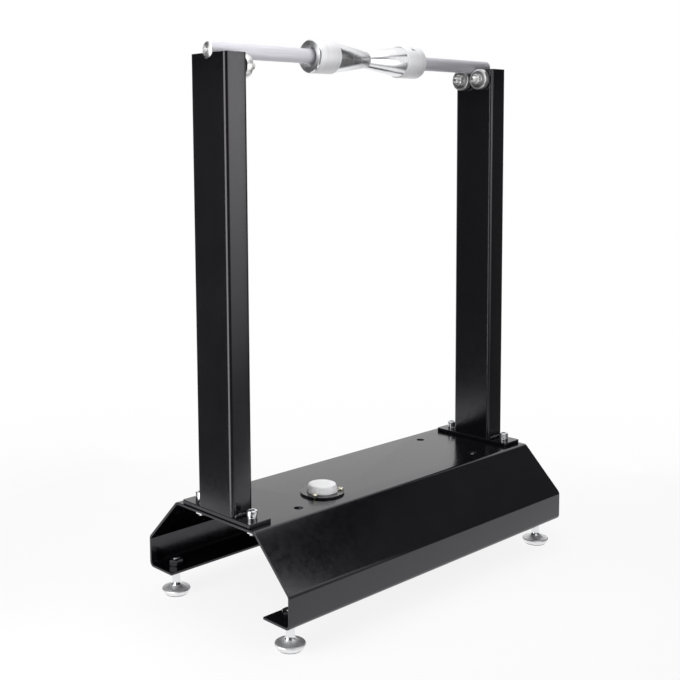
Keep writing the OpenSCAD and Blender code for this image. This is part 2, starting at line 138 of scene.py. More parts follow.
def vary(finish, mask, socket, low, high):
    """Let a value follow the mask between low and high."""
    tree = finish.node_tree
    spread = add_node(tree, "MapRange", From_Min=MASK_LOW, From_Max=MASK_HIGH, To_Min=low, To_Max=high)
    tree.links.new(mask, spread.inputs["Value"])
    tree.links.new(spread.outputs["Result"], tree.nodes["Principled BSDF"].inputs[socket])


def tint(finish, mask, dark, light):
    """Let the colour follow the mask from dark to light."""
    tree = finish.node_tree
    ramp = add_node(tree, "ValToRGB")
    for stop, position, colour in zip(ramp.color_ramp.elements, (MASK_LOW, MASK_HIGH), (dark, light)):
        stop.position = position
        stop.color = (*colour, 1)
    tree.links.new(mask, ramp.inputs["Fac"])
    tree.links.new(ramp.outputs["Color"], tree.nodes["Principled BSDF"].inputs["Base Color"])


def relief(finish, mask, depth, strength):
    """Raise and sink the surface by the mask; depth is in millimetres."""
    tree = finish.node_tree
    bump = add_node(tree, "Bump", Distance=depth * MM, Strength=strength)
    tree.links.new(mask, bump.inputs["Height"])
    tree.links.new(bump.outputs["Normal"], tree.nodes["Principled BSDF"].inputs["Normal"])


def uneven(name, colour, dark, light, patch, grain, rough, **values):
    """A finish whose colour changes in patches and whose roughness changes in a finer grain."""
    finish = new_finish(name, colour, **values)
    tint(finish, mottle(finish, patch), dark, light)
    vary(finish, mottle(finish, *grain), "Roughness", *rough)
    return finish


print("helpers for finishes are ready")

# %% [markdown]
# ### Black powder coat
# The base, the posts and their plates are powder coated: almost black, semi-gloss, with the fine orange
# peel that baked powder keeps. All of its brightness is what it reflects, so the colour stays near black
# and the gloss does the rest.

# %% Black powder coat
COAT_GLINT = (0.96, 0.93, 1.0, 1)
black_coat = uneven("black_powder_coat", (0.003, 0.003, 0.004), (0.002, 0.002, 0.003), (0.004, 0.004, 0.005),
                    patch=40, grain=(6, 3), rough=(0.15, 0.21), IOR=1.6, Specular_Tint=COAT_GLINT)
relief(black_coat, mottle(black_coat, 1.6), 0.02, 0.15)
print("made", black_coat.name)

# %% [markdown]
# ### Bright metals
# The screws, washers and nuts are zinc plated, those of the level with a yellow cast. The feet are
# chromed, with satin discs, and the bearing rings are ground steel. These metals differ in colour, in how
# sharp their reflections are, and in the grain that the work left on them. The bearing shields are made
# dark, which paints the shade of their recess between the rings.

# %% Bright metals
zinc = uneven("zinc_plate", (0.76, 0.77, 0.79), (0.70, 0.71, 0.73), (0.80, 0.81, 0.83),
              patch=3, grain=(1.2, 3), rough=(0.10, 0.22), Metallic=1.0)
yellow_zinc = uneven("yellow_zinc_plate", (0.78, 0.75, 0.63), (0.72, 0.68, 0.55), (0.82, 0.80, 0.70),
                     patch=2, grain=(1.2, 3), rough=(0.12, 0.24), Metallic=1.0)
chrome = uneven("bright_chrome", (0.80, 0.81, 0.83), (0.77, 0.78, 0.80), (0.83, 0.84, 0.86),
                patch=12, grain=(2, 3), rough=(0.10, 0.18), Metallic=1.0)
satin_chrome = uneven("satin_chrome", (0.90, 0.90, 0.91), (0.85, 0.85, 0.86), (0.93, 0.93, 0.94),
                      patch=5, grain=(1.5, 3), rough=(0.48, 0.60), Metallic=1.0)
ground_steel = uneven("ground_steel", (0.82, 0.82, 0.81), (0.77, 0.77, 0.76), (0.86, 0.86, 0.85),
                      patch=4, grain=(0.8, 2, (1, 0.1, 0.1)), rough=(0.28, 0.42), Metallic=1.0)
# The shields' steel is made dark, which paints the shade of the recess between the bearing rings.
shaded_shield_steel = uneven("shaded_shield_steel", (0.28, 0.28, 0.29), (0.24, 0.24, 0.25), (0.33, 0.33, 0.34),
                      patch=3, grain=(1, 3), rough=(0.30, 0.44), Metallic=1.0)
brass = uneven("cage_brass", (0.72, 0.55, 0.28), (0.64, 0.47, 0.22), (0.76, 0.60, 0.32),
               patch=3, grain=(1, 3), rough=(0.22, 0.36), Metallic=1.0)
bright_metals = (zinc, yellow_zinc, chrome, satin_chrome, ground_steel, shaded_shield_steel, brass)
print("made", [finish.name for finish in bright_metals])

# %% [markdown]
# ### Turned aluminium
# The cones come from a lathe, so the tool's marks run round them as fine rings. The axle is drawn bar,
# with its marks lengthwise. Marks spread a highlight across themselves, which an anisotropic surface does
# without any extra mesh: unturned, it spreads the highlight round X, as the axle's marks do, and a
# quarter turn spreads it along X, as rings do.
# The noise reads the distance along the axle and the distance from its middle, so the rings run round the
# sides and round the end faces too. Collars are fine and nearly matt, end faces brighter, tapers
# polished.

# %% Turned aluminium
AXLE_MIDDLE = (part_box("axle")[0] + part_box("axle")[1]) / 2


def ring_marks(finish, size):
    """Noise that changes along the axle and outwards from it, but not round it."""
    tree = finish.node_tree
    place = add_node(tree, "TexCoord")
    centred = add_node(tree, "Mapping", Location=-AXLE_MIDDLE)
    parts = add_node(tree, "SeparateXYZ")
    across = add_node(tree, "CombineXYZ")
    distance = add_node(tree, "VectorMath", "LENGTH")
    rings = add_node(tree, "CombineXYZ")
    noise = add_node(tree, "TexNoise", Scale=1 / (size * MM), Detail=2)
    wire(tree,
         (place, "Object", centred, "Vector"), (centred, "Vector", parts, "Vector"),
         (parts, "Y", across, "Y"), (parts, "Z", across, "Z"), (across, "Vector", distance, 0),
         (parts, "X", rings, "X"), (distance, "Value", rings, "Y"), (rings, "Vector", noise, "Vector"))
    return noise.outputs["Fac"]


def draw_marks(finish, size):
    """Noise drawn out along the axle."""
    return mottle(finish, size, 2, (0.02, 1, 1))


def alloy(name, colour, marks, turn, rough, grain):
    """Aluminium with tool marks; grain says how far they spread a highlight, turn which way they run."""
    finish = new_finish(name, colour, Metallic=1.0, Anisotropic=grain, Anisotropic_Rotation=turn)
    tint(finish, marks(finish, 1.5), [c * 0.95 for c in colour], [c * 1.03 for c in colour])
    vary(finish, marks(finish, 0.6), "Roughness", rough * 0.85, rough * 1.15)
    grain_way = add_node(finish.node_tree, "Tangent")
    grain_way.direction_type = "RADIAL"
    grain_way.axis = "X"
    wire(finish.node_tree, (grain_way, "Tangent", finish.node_tree.nodes["Principled BSDF"], "Tangent"))
    return finish


ALONG_BAR, ROUND_BAR = 0.0, 0.25
axle_alloy = alloy("drawn_alloy", (0.71, 0.70, 0.745), draw_marks, ALONG_BAR, rough=0.66, grain=0.3)
collar_alloy = alloy("turned_alloy", (0.84, 0.84, 0.85), ring_marks, ROUND_BAR, rough=0.66, grain=0.2)
faced_alloy = alloy("faced_alloy", (0.80, 0.80, 0.81), ring_marks, ROUND_BAR, rough=0.44, grain=0.7)
taper_alloy = alloy("polished_alloy", (0.86, 0.86, 0.88), ring_marks, ROUND_BAR, rough=0.24, grain=0.4)
print("made", [finish.name for finish in (axle_alloy, collar_alloy, faced_alloy, taper_alloy)])

# %% [markdown]
# ### Plastics, rubber and the level's clear parts
# The level has a milky cup, a frosted window, a smoke-grey flange, and pale spirit inside. The cup is
# white right through and the window lets in a little light. The flange, the spirit and its bubble are
# real transmission.

# %% Plastics, rubber and clear parts
milky = uneven("milky_plastic", (0.96, 0.96, 0.97), (0.93, 0.93, 0.94), (0.96, 0.96, 0.97),
               patch=6, grain=(1, 3), rough=(0.28, 0.42), IOR=1.55)
frosted = uneven("frosted_plastic", (0.96, 0.96, 0.97), (0.93, 0.93, 0.94), (0.96, 0.96, 0.97),
                 patch=5, grain=(0.8, 3), rough=(0.22, 0.34), Transmission_Weight=0.04, IOR=1.55)
smoke = uneven("smoke_acrylic", (0.10, 0.10, 0.11), (0.08, 0.08, 0.09), (0.13, 0.13, 0.14),
               patch=10, grain=(0.9, 3), rough=(0.06, 0.14), Transmission_Weight=0.8, IOR=1.55)
acrylic = uneven("clear_acrylic", (0.96, 0.98, 0.98), (0.94, 0.97, 0.97), (0.97, 0.99, 0.99),
                 patch=10, grain=(0.7, 4), rough=(0.01, 0.07), Transmission_Weight=1.0, IOR=1.49)
spirit = new_finish("level_spirit", (0.93, 0.98, 0.88), Transmission_Weight=1.0, IOR=1.36, Roughness=0.0)
tint(spirit, mottle(spirit, 8), (0.91, 0.97, 0.85), (0.95, 0.99, 0.91))
rubber = uneven("pad_rubber", (0.03, 0.03, 0.03), (0.022, 0.022, 0.023), (0.045, 0.045, 0.046),
                patch=2, grain=(0.8, 3), rough=(0.62, 0.85), IOR=1.5)
relief(rubber, mottle(rubber, 0.5), 0.05, 0.5)
nylon = uneven("foot_nylon", (0.05, 0.05, 0.05), (0.04, 0.04, 0.041), (0.065, 0.065, 0.066),
               patch=3, grain=(1, 3), rough=(0.45, 0.65), IOR=1.53)
print("made", [finish.name for finish in (milky, frosted, smoke, acrylic, spirit, rubber, nylon)])

# %% [markdown]
# ## Solids that stay
# A solid whose shape is already right, or that sits deep inside a bearing, keeps its mesh and only gets a
# finish.

# %% Finishes for the solids that stay
CORNERS = ("left_front", "left_back", "right_front", "right_back")
kept = {
    "bearing_spacers": zinc, "left_set_screw": ground_steel, "right_set_screw": ground_steel,
    "level_pad": rubber, "level_fluid": spirit, "level_bubble": acrylic,
}
for corner in CORNERS:
    kept["cage_" + corner] = brass
    kept["balls_" + corner] = chrome
    kept["foot_pad_" + corner] = nylon
for name, finish in kept.items():
    nodes[name].data.materials.clear()
    nodes[name].data.materials.append(finish)
print("dressed as they are:", len(kept))

# %% [markdown]
# ## From a shape to a piece
# Every new shape is modelled in millimetres and ends the same way: doubles merged, faces turned outwards,
# scaled to metres, smoothed, and set to ride on a body. A sheet gets its thickness from Solidify, and a
# narrow Bevel softens edges as paint or a deburring wheel does, with the flat faces kept flat.

# %% Make a piece
SHARP = math.radians(38)
MERGE = 0.002


def merge(shape, reach):
    """Join the vertices that lie within this reach of each other."""
    bmesh.ops.remove_doubles(shape, verts=shape.verts, dist=reach)


def turn_outwards(shape, inside):
    """Point all faces of a sheet away from a place that lies on its inner side."""
    shape.normal_update()
    widest = max(shape.faces, key=lambda face: face.calc_area())
    if (widest.calc_center_median() - inside).dot(widest.normal) < 0:
        bmesh.ops.reverse_faces(shape, faces=shape.faces)


def piece(name, shape, finish, body, slot, *stands_for, wall=0.0, inside=None, edge=0.0):
    """Finish a shape as an object; wall is a sheet's thickness and edge the width of its soft edges."""
    merge(shape, MERGE)
    bmesh.ops.recalc_face_normals(shape, faces=shape.faces)
    if wall:
        turn_outwards(shape, inside)
    shape.transform(Matrix.Scale(MM, 4))
    mesh = bpy.data.meshes.new(name)
    shape.to_mesh(mesh)
    shape.free()
    mesh.shade_smooth()
    mesh.set_sharp_from_angle(angle=SHARP)
    mesh.materials.append(finish)
    made = bpy.data.objects.new(name, mesh)
    bpy.context.scene.collection.objects.link(made)
    if wall:
        thickness = made.modifiers.new("thickness", "SOLIDIFY")
        thickness.thickness = wall * MM
        thickness.offset = -1
        thickness.use_even_offset = True
    if edge:
        soft_edge = made.modifiers.new("soft_edge", "BEVEL")
        soft_edge.width = edge * MM
        soft_edge.segments = 3
        soft_edge.limit_method = "ANGLE"
        soft_edge.angle_limit = SHARP
        soft_edge.harden_normals = True
    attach(made, body)
    if stands_for:
        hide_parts(*stands_for)
    print("piece", name, len(mesh.polygons), "faces")
    return made


def size_of(node):
    """Lowest and highest corner of a solid, in millimetres."""
    low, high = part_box(node)
    return low / MM, high / MM


for end, corner in zip(("from", "to"), size_of("base_sheet")):
    print("base runs", end, [round(v, 1) for v in corner])

# %% [markdown]
# ## Folded base
# The real base is one sheet, cut flat, drilled and folded six times on a press brake. The model follows
# that: a line of eight points is drawn out along the stand, and a bevel turns each fold line into a bend.
# A fold's bevel starts the radius times the tangent of half the fold's angle away from the line.
# A hole is drilled by cutting a square cell out of the flat with four planes and extruding its rim
# inwards onto a circle, which leaves clean quads round the hole, where a boolean would leave slivers. Two
# cells in line get slightly different sizes, because a cut that falls exactly on an older edge would
# leave a face with no width.

# %% Folded base
SHEET = 2.5
BEND_RADIUS = 5.5
TOP_HALF = 57.0
FLANGE = 35.0
low, high = size_of("base_sheet")
BASE_TOP = high.z
FOLD_Z = low.z + 30.5
NEAR = 0.01


def line_of(shape, points):
    """A line of edges through these points."""
    verts = [shape.verts.new(p) for p in points]
    return [shape.edges.new(pair) for pair in zip(verts, verts[1:])]


def pulled(shape, edges):
    """Extrude a line of edges where it lies, and give the vertices of the new line."""
    made = bmesh.ops.extrude_edge_only(shape, edges=edges)["geom"]
    return [v for v in made if isinstance(v, bmesh.types.BMVert)]


def split(shape, edges, cuts):
    """Cut edges into equal lengths, and give the new edges."""
    made = bmesh.ops.subdivide_edges(shape, edges=edges, cuts=cuts)
    return [e for e in set(made["geom_inner"] + made["geom_split"]) if isinstance(e, bmesh.types.BMEdge)]


def drawn_out(shape, edges, vector):
    """Extrude a line into a strip."""
    bmesh.ops.translate(shape, verts=pulled(shape, edges), vec=vector)


def face_at(shape, point):
    """The face that a point lies on."""
    def reach(face):
        in_plane = abs((point - face.verts[0].co).dot(face.normal)) < NEAR
        holds_point = in_plane and bmesh.geometry.intersect_face_point(face, point)
        return (face.calc_center_bounds() - point).length if holds_point else math.inf

    return min(shape.faces, key=reach)


def drill(shape, point, radius, room):
    """Bore a round hole through a flat face; room is half the side of the cell that is cut out for it."""
    shape.normal_update()
    normal = face_at(shape, point).normal.copy()
    side = normal.orthogonal().normalized() if abs(normal.z) < 0.9 else Vector((1, 0, 0))
    for way in (side, normal.cross(side)):
        for reach in (-room, room):
            face = face_at(shape, point)
            bmesh.ops.bisect_plane(
                shape, geom=[face, *face.edges, *face.verts], plane_co=point + way * reach, plane_no=way)
    cell = face_at(shape, point)
    rim = list(cell.edges)
    bmesh.ops.delete(shape, geom=[cell], context="FACES_ONLY")
    for v in pulled(shape, split(shape, rim, cuts=7)):
        v.co = point + (v.co - point).normalized() * radius


base = bmesh.new()
half_section = [(high.y - FLANGE, low.z), (high.y, low.z), (high.y, FOLD_Z), (TOP_HALF, BASE_TOP)]
section = half_section + [(-y, z) for y, z in reversed(half_section)]
drawn_out(base, line_of(base, [(low.x, y, z) for y, z in section]), (high.x - low.x, 0, 0))
for fold in [e for e in base.edges if len(e.link_faces) == 2]:
    tangent_length = BEND_RADIUS * math.tan(fold.calc_face_angle() / 2)
    bmesh.ops.bevel(base, geom=[fold], offset=tangent_length, offset_type="OFFSET", segments=10, profile=0.5,
                    affect="EDGES", material=-1)

PLATE_X, SPARE_X, SCREW_Y = 187.0, 130.0, 37.0
FOOT_X, FOOT_Y = 184.0, 83.0
LEVEL_X, LEVEL_Y, LEVEL_CIRCLE = -83.0, -20.5, 18.2
LEVEL_SCREWS = [(LEVEL_X + LEVEL_CIRCLE * math.cos(turn), LEVEL_Y + LEVEL_CIRCLE * math.sin(turn))
                for turn in map(math.radians, (83, 203, 323))]
SCREW_HOLE, SPARE_HOLE, FOOT_HOLE, LEVEL_HOLE = 3.3, 4.25, 4.3, 1.6
UNLIKE = 0.2
for x in (-1, 1):
    for y in (-1, 1):
        drill(base, Vector((x * PLATE_X, y * SCREW_Y, BASE_TOP)), SCREW_HOLE, room=5 + UNLIKE * y)
        drill(base, Vector((x * SPARE_X, y * SCREW_Y, BASE_TOP)), SPARE_HOLE, room=6 + UNLIKE * y)
        drill(base, Vector((x * FOOT_X, y * FOOT_Y, low.z)), FOOT_HOLE, room=6 + UNLIKE * y)
for x, y in LEVEL_SCREWS:
    drill(base, Vector((x, y, BASE_TOP)), LEVEL_HOLE, room=2.4)
piece("folded_base", base, black_coat, "frame", "black_coat", "base_sheet",
      wall=SHEET, inside=Vector((0, 0, low.z)), edge=0.45)

# %% [markdown]
# ## Posts
# Each post is a length of 50 by 25 tube with round corners. A rectangle is bevelled at its corners and
# drawn up, the holes for the two studs are drilled in the inner wall, and the top edge of both wide walls
# is lowered onto an arc, where the real tube is cut out for the axle.

# %% Posts
TUBE_X, TUBE_Y, TUBE_CORNER, TUBE_WALL = 25.0, 50.0, 4.0, 2.0
AXLE_Z = AXLE_MIDDLE.z / MM
NOTCH_RADIUS = 7.9
STUD_Y = 12.0
STUD_Z = size_of("left_post")[1].z - 11.0


def rounded_rectangle(shape, middle, width, depth, corner):
    """A flat face with round corners, square to Z."""
    x, y, z = middle
    face = shape.faces.new([shape.verts.new((x + i * width / 2, y + j * depth / 2, z))
                            for i, j in ((-1, -1), (1, -1), (1, 1), (-1, 1))])
    bmesh.ops.bevel(shape, geom=list(face.verts), offset=corner, offset_type="OFFSET", segments=8,
                    profile=0.5, affect="VERTICES", material=-1)
    return shape.faces[:]


def edges_on(shape, x, z):
    """The edges that lie along Y at this place."""
    return [e for e in shape.edges if all(abs(v.co.x - x) < NEAR and abs(v.co.z - z) < NEAR for v in e.verts)]


def tube_post(node, sign):
    """One post, with its stud holes on the side that faces the middle of the stand."""
    low, high = size_of(node)
    middle_x = (low.x + high.x) / 2
    shape = bmesh.new()
    foot = rounded_rectangle(shape, (middle_x, 0, low.z), TUBE_X, TUBE_Y, TUBE_CORNER)
    outline = list(shape.edges)
    drawn_out(shape, outline, (0, 0, high.z - low.z))
    bmesh.ops.delete(shape, geom=foot, context="FACES_ONLY")
    inner_x = middle_x - sign * TUBE_X / 2
    for y in (-1, 1):
        drill(shape, Vector((inner_x, y * STUD_Y, STUD_Z)), SCREW_HOLE, room=4.5 + UNLIKE * y)
    half_notch = math.sqrt(NOTCH_RADIUS ** 2 - (AXLE_Z - high.z) ** 2)
    for wall_x in (inner_x, middle_x + sign * TUBE_X / 2):
        for y in (-half_notch, half_notch):
            top = edges_on(shape, wall_x, high.z)
            top_verts = list({v for e in top for v in e.verts})
            bmesh.ops.bisect_plane(shape, geom=top + top_verts, plane_co=(0, y, 0), plane_no=(0, 1, 0))
        bridge = [e for e in edges_on(shape, wall_x, high.z)
                  if all(abs(v.co.y) < half_notch + NEAR for v in e.verts)]
        bmesh.ops.subdivide_edges(shape, edges=bridge, cuts=24)
        for v in {v for e in edges_on(shape, wall_x, high.z) for v in e.verts}:
            if abs(v.co.y) < half_notch - NEAR:
                v.co.z = AXLE_Z - math.sqrt(NOTCH_RADIUS ** 2 - v.co.y ** 2)
    return piece(node + "_tube", shape, black_coat, "frame", "black_coat", node, wall=TUBE_WALL,
                 inside=Vector((middle_x, 0, high.z / 2)), edge=0.4)


tube_post("left_post", -1)
tube_post("right_post", 1)

# %% [markdown]
# ## Foot plates and their welds
# A flat bar is welded across the foot of each post and screwed to the base. The weld is a row of
# overlapping drops on both narrow sides, and the powder coat runs over it. Flattened spheres set close
# together give the ripples of such a bead.

# %% Foot plates and welds
PLATE_CORNER = 2.0
WELD_DROPS, WELD_INSET, WELD_SEAT = 5, 2.0, 0.6
DROP_SIZE = (2.5, 3.5, 2.6)
SWELL, SWELL_STEP = 0.18, 2.4


def foot_plate(node):
    """A bar with round corners and two screw holes."""
    low, high = size_of(node)
    middle = (low + high) / 2
    shape = bmesh.new()
    rounded_rectangle(shape, (middle.x, 0, high.z), high.x - low.x, high.y - low.y, PLATE_CORNER)
    for y in (-1, 1):
        drill(shape, Vector((middle.x, y * SCREW_Y, high.z)), SCREW_HOLE, room=5 + UNLIKE * y)
    return piece(node + "_bar", shape, black_coat, "frame", "black_coat", node,
                 wall=high.z - low.z, inside=low, edge=0.6)


def weld_beads(side, post):
    """Two beads, one along each narrow side of a post's foot."""
    low, high = size_of(post)
    shape = bmesh.new()
    for sign in (-1, 1):
        for drop in range(WELD_DROPS):
            share = (drop + 0.5) / WELD_DROPS
            x = low.x + WELD_INSET + share * (high.x - low.x - 2 * WELD_INSET)
            swell = 1 + SWELL * math.sin(SWELL_STEP * drop + sign)
            spot = Matrix.Translation((x, sign * (high.y + WELD_SEAT), low.z + WELD_SEAT))
            tilt = Matrix.Rotation(math.radians(sign * 45), 4, "X")
            flatten = Matrix.Diagonal((*(size * swell for size in DROP_SIZE), 1))
            bmesh.ops.create_uvsphere(shape, u_segments=20, v_segments=12, radius=1,
                                      matrix=spot @ tilt @ flatten)
    return piece(side + "_post_weld", shape, black_coat, "frame", "black_coat")


for side in ("left", "right"):
    foot_plate(side + "_foot_plate")
    weld_beads(side, side + "_post")

# %% [markdown]
# ## Threads, screws and nuts
# A thread is the clearest case for a spin that climbs: one tooth's profile, as high as the pitch, is
# turned about the rod while each step lifts it a little, so that every turn lands on top of the last.
# Both ends are then cut flat. A nut starts as a spun ring, and its outer wall is pushed out onto a
# hexagon; where the wall lies further out, it is cut lower, which gives the curved chamfer that real nuts
# have. A socket head is a spun shape too, with the rim of its mouth extruded onto a hexagon and then down
# into the head.

# %% Shapes of the fasteners
M6_RADIUS, M6_PITCH = 2.98, 1.0
M6_FLATS, M6_NUT, M6_BORE = 10, 5, 3.05
M6_HEAD = {"head_radius": 5, "shoulder": 0.7, "flats": 5, "depth": 3}
INTO_HEAD = 0.2


def open_edges(shape):
    """The edges of a shape's openings."""
    return [e for e in shape.edges if e.is_boundary]


def spin_round(shape, edges, angle, steps, **values):
    """Spin a line about Z, which leaves a surface behind it."""
    bmesh.ops.spin(shape, geom=shape.verts[:] + edges, cent=(0, 0, 0), axis=(0, 0, 1), angle=angle,
                   steps=steps, **values)


def spun(profile, steps=64):
    """Turn a profile of radius and height points about Z."""
    shape = bmesh.new()
    edges = line_of(shape, [(radius, 0, z) for radius, z in profile])
    spin_round(shape, edges, 2 * math.pi, steps, use_merge=True)
    merge(shape, 0.0005)
    return shape


def thread(radius, pitch, low, high):
    """A threaded rod along Z, cut flat at both ends."""
    steps_a_turn = 28
    root = radius - 0.55 * pitch
    tooth = [(root, 0), (radius, 0.4 * pitch), (radius, 0.5 * pitch), (root, 0.9 * pitch), (root, pitch)]
    turns = math.ceil((high - low) / pitch) + 3
    shape = bmesh.new()
    edges = line_of(shape, [(r, 0, low - 2 * pitch + z) for r, z in tooth])
    spin_round(shape, edges, 2 * math.pi * turns, steps_a_turn * turns, dvec=(0, 0, pitch / steps_a_turn))
    merge(shape, 0.003)
    for z, way in ((low, -1), (high, 1)):
        bmesh.ops.bisect_plane(shape, geom=shape.verts[:] + shape.edges[:] + shape.faces[:],
                               plane_co=(0, 0, z), plane_no=(0, 0, way), clear_outer=True)
    bmesh.ops.holes_fill(shape, edges=open_edges(shape))
    return shape


def hexagon_reach(spot, flats):
    """How far from the middle a hexagon's wall lies, in the direction of a spot."""
    from_flat = math.degrees(math.atan2(spot.y, spot.x)) % 60 - 30
    return flats / 2 / math.cos(math.radians(from_flat))


def hex_nut(flats, height, bore):
    """A hexagon nut along Z, its corners cut down by a cone at both ends."""
    seat = 0.47 * flats
    lip = 0.06 * flats
    shape = spun([
        (bore, lip), (bore + lip, 0), (seat, 0), (flats / 2, 0), (flats / 2, height), (seat, height),
        (bore + lip, height), (bore, height - lip), (bore, lip)], steps=48)
    for v in shape.verts:
        if math.hypot(v.co.x, v.co.y) > flats / 2 - 0.01:
            reach = hexagon_reach(v.co, flats)
            v.co.x *= reach * 2 / flats
            v.co.y *= reach * 2 / flats
            v.co.z += (reach - seat) * math.tan(math.radians(30)) * (1 if v.co.z < height / 2 else -1)
    return shape


def socket_screw(head_radius, head_height, shoulder, flats, depth):
    """A screw head along Z with a hexagon socket; shoulder is the rounding of its top edge."""
    lead_in = 0.15
    mouth = flats / 2 / math.cos(math.radians(30)) + lead_in
    arc = [(head_radius - shoulder * (1 - math.cos(turn)), head_height - shoulder * (1 - math.sin(turn)))
           for turn in map(math.radians, range(0, 91, 15))]
    shape = spun([(0, 0), (head_radius - 0.3, 0), (head_radius, 0.3), *arc, (mouth, head_height)], steps=48)
    for v in pulled(shape, open_edges(shape)):
        reach = hexagon_reach(v.co, flats) / mouth
        v.co = (v.co.x * reach, v.co.y * reach, head_height - lead_in)
    drawn_out(shape, open_edges(shape), (0, 0, lead_in - depth))
    bmesh.ops.holes_fill(shape, edges=open_edges(shape))
    return shape


def place(target, shape, matrix):
    """Add a copy of a shape to a piece."""
    mesh = bpy.data.meshes.new("copy")
    shape.to_mesh(mesh)
    mesh.transform(matrix)
    target.from_mesh(mesh)
    bpy.data.meshes.remove(mesh)


samples = {"thread": thread(M6_RADIUS, M6_PITCH, 0, 10), "nut": hex_nut(M6_FLATS, M6_NUT, M6_BORE),
           "screw head": socket_screw(head_height=6, **M6_HEAD)}
for name, shape in samples.items():
    print(name, len(shape.faces), "faces", "closed" if all(e.is_manifold for e in shape.edges) else "open")
    shape.free()

# %% [markdown]
# ### The screws of the foot plates
# Each plate has two M6 socket screws on spring lock washers, with a plain washer and a nut under the
# sheet. A lock washer is a ring that doesn't close: its section is spun most of the way round, and the two
# ends are filled.

# %% Plate screws, washers and nuts
low, high = size_of("plate_screws")
washer_low, washer_high = size_of("plate_washers")
nut_low, nut_high = size_of("underside_nuts")
plain_low, plain_high = size_of("underside_washers")
PLATE_SCREWS = [(x * PLATE_X, y * SCREW_Y) for x in (-1, 1) for y in (-1, 1)]

head = socket_screw(head_height=high.z - washer_high.z, **M6_HEAD)
shank = thread(M6_RADIUS, M6_PITCH, low.z, washer_high.z + INTO_HEAD)
lock_ring = bmesh.new()
WASHER_BORE = 3.3
thick = washer_high.z - washer_low.z
line_of(lock_ring, [(r, 0, z) for r, z in (
    (WASHER_BORE, 0), (4.8, 0), (5, 0.2), (5, thick - 0.2), (4.8, thick), (WASHER_BORE, thick),
    (WASHER_BORE, 0))])
merge(lock_ring, 0.001)
slit = math.radians(14)
bmesh.ops.rotate(lock_ring, verts=lock_ring.verts, cent=(0, 0, 0), matrix=Matrix.Rotation(slit / 2, 3, "Z"))
spin_round(lock_ring, lock_ring.edges[:], 2 * math.pi - slit, steps=44)
merge(lock_ring, 0.001)
bmesh.ops.holes_fill(lock_ring, edges=open_edges(lock_ring))
thick = plain_high.z - plain_low.z
plain_ring = spun([
    (WASHER_BORE, 0), (5.7, 0), (6, 0.3), (6, thick - 0.4), (5.6, thick), (WASHER_BORE, thick),
    (WASHER_BORE, 0)], steps=56)
nut = hex_nut(M6_FLATS, nut_high.z - nut_low.z, M6_BORE)

screws, locks, plains, nuts = (bmesh.new() for _ in range(4))
for x, y in PLATE_SCREWS:
    turn = Matrix.Rotation(0.7 * x + 0.3 * y, 4, "Z")
    place(screws, head, Matrix.Translation((x, y, washer_high.z)) @ turn)
    place(screws, shank, Matrix.Translation((x, y, 0)))
    place(locks, lock_ring, Matrix.Translation((x, y, washer_low.z)))
    place(plains, plain_ring, Matrix.Translation((x, y, plain_low.z)))
    place(nuts, nut, Matrix.Translation((x, y, nut_low.z)))
for shape in (head, shank, lock_ring, plain_ring, nut):
    shape.free()
piece("plate_socket_screws", screws, zinc, "frame", "zinc_steel", "plate_screws")
piece("plate_lock_washers", locks, zinc, "frame", "zinc_steel", "plate_washers")
piece("underside_plain_washers", plains, zinc, "frame", "zinc_steel", "underside_washers")
piece("underside_hex_nuts", nuts, zinc, "frame", "zinc_steel", "underside_nuts")

# %% [markdown]
# ## Bearings
# Each post carries two small ball bearings on threaded studs, and the axle lies in the valley between
# them. The outer ring turns with the axle; the inner ring and its nut stay. The rings are spun sections
# with rounded edges, and each shield is a pressed disc with a rolled rim and a shallow groove, which
# shows as fine circles.

# %% Bearings
TO_RIGHT = Matrix.Rotation(math.radians(90), 4, "Y")
BEARING_X = 170.0
BEARING_W = 7.0
STUD_IN, STUD_OUT = 156.5, 184.0
TUBE_NUT_AT = 7.0
half = BEARING_W / 2


def bearing_place(corner):
    """Where a bearing sits, with Z of its shape laid along the stand, outwards."""
    side = -1 if corner.startswith("left") else 1
    depth = -1 if corner.endswith("front") else 1
    mirror = Matrix.Diagonal((side, 1, 1, 1))
    return mirror @ Matrix.Translation((BEARING_X, depth * STUD_Y, STUD_Z)) @ TO_RIGHT


SHIELD_IN = 2.9
outer_section = [
    (8.7, -SHIELD_IN), (9.0, -SHIELD_IN), (9.0, -half), (10.5, -half), (10.85, -half + 0.15),
    (11, -half + 0.5), (11, half - 0.5), (10.85, half - 0.15), (10.5, half), (9.0, half), (9.0, SHIELD_IN),
    (8.7, SHIELD_IN), (8.7, 1.2), (9.2, 0), (8.7, -1.2), (8.7, -SHIELD_IN)]
inner_section = [
    (M6_BORE, -half), (5.0, -half), (5.3, -half + 0.3), (5.3, -1.2), (4.8, 0), (5.3, 1.2), (5.3, half - 0.3),
    (5.0, half), (M6_BORE, half), (M6_BORE, -half)]
shield_section = [
    (5.6, SHIELD_IN), (5.6, 3.3), (5.9, 3.3), (6.2, 3.15), (7.6, 3.15), (7.9, 3.3), (8.6, 3.3), (8.95, 3.2),
    (8.95, SHIELD_IN), (5.6, SHIELD_IN)]
outer_ring, inner_ring = spun(outer_section, 72), spun(inner_section, 56)
shield_pair, inward_shield = spun(shield_section, 72), spun([(r, -z) for r, z in shield_section], 72)
place(shield_pair, inward_shield, Matrix.Identity(4))
stud_tip = STUD_IN - BEARING_X
stud = thread(M6_RADIUS, M6_PITCH, stud_tip + 0.9, STUD_OUT - BEARING_X)
tip = spun([
    (0, stud_tip), (1.8, stud_tip), (2.45, stud_tip + 0.6), (2.45, stud_tip + 1.2), (0, stud_tip + 1.2)], 40)
place(stud, tip, Matrix.Identity(4))
nut = hex_nut(M6_FLATS, M6_NUT, M6_BORE)
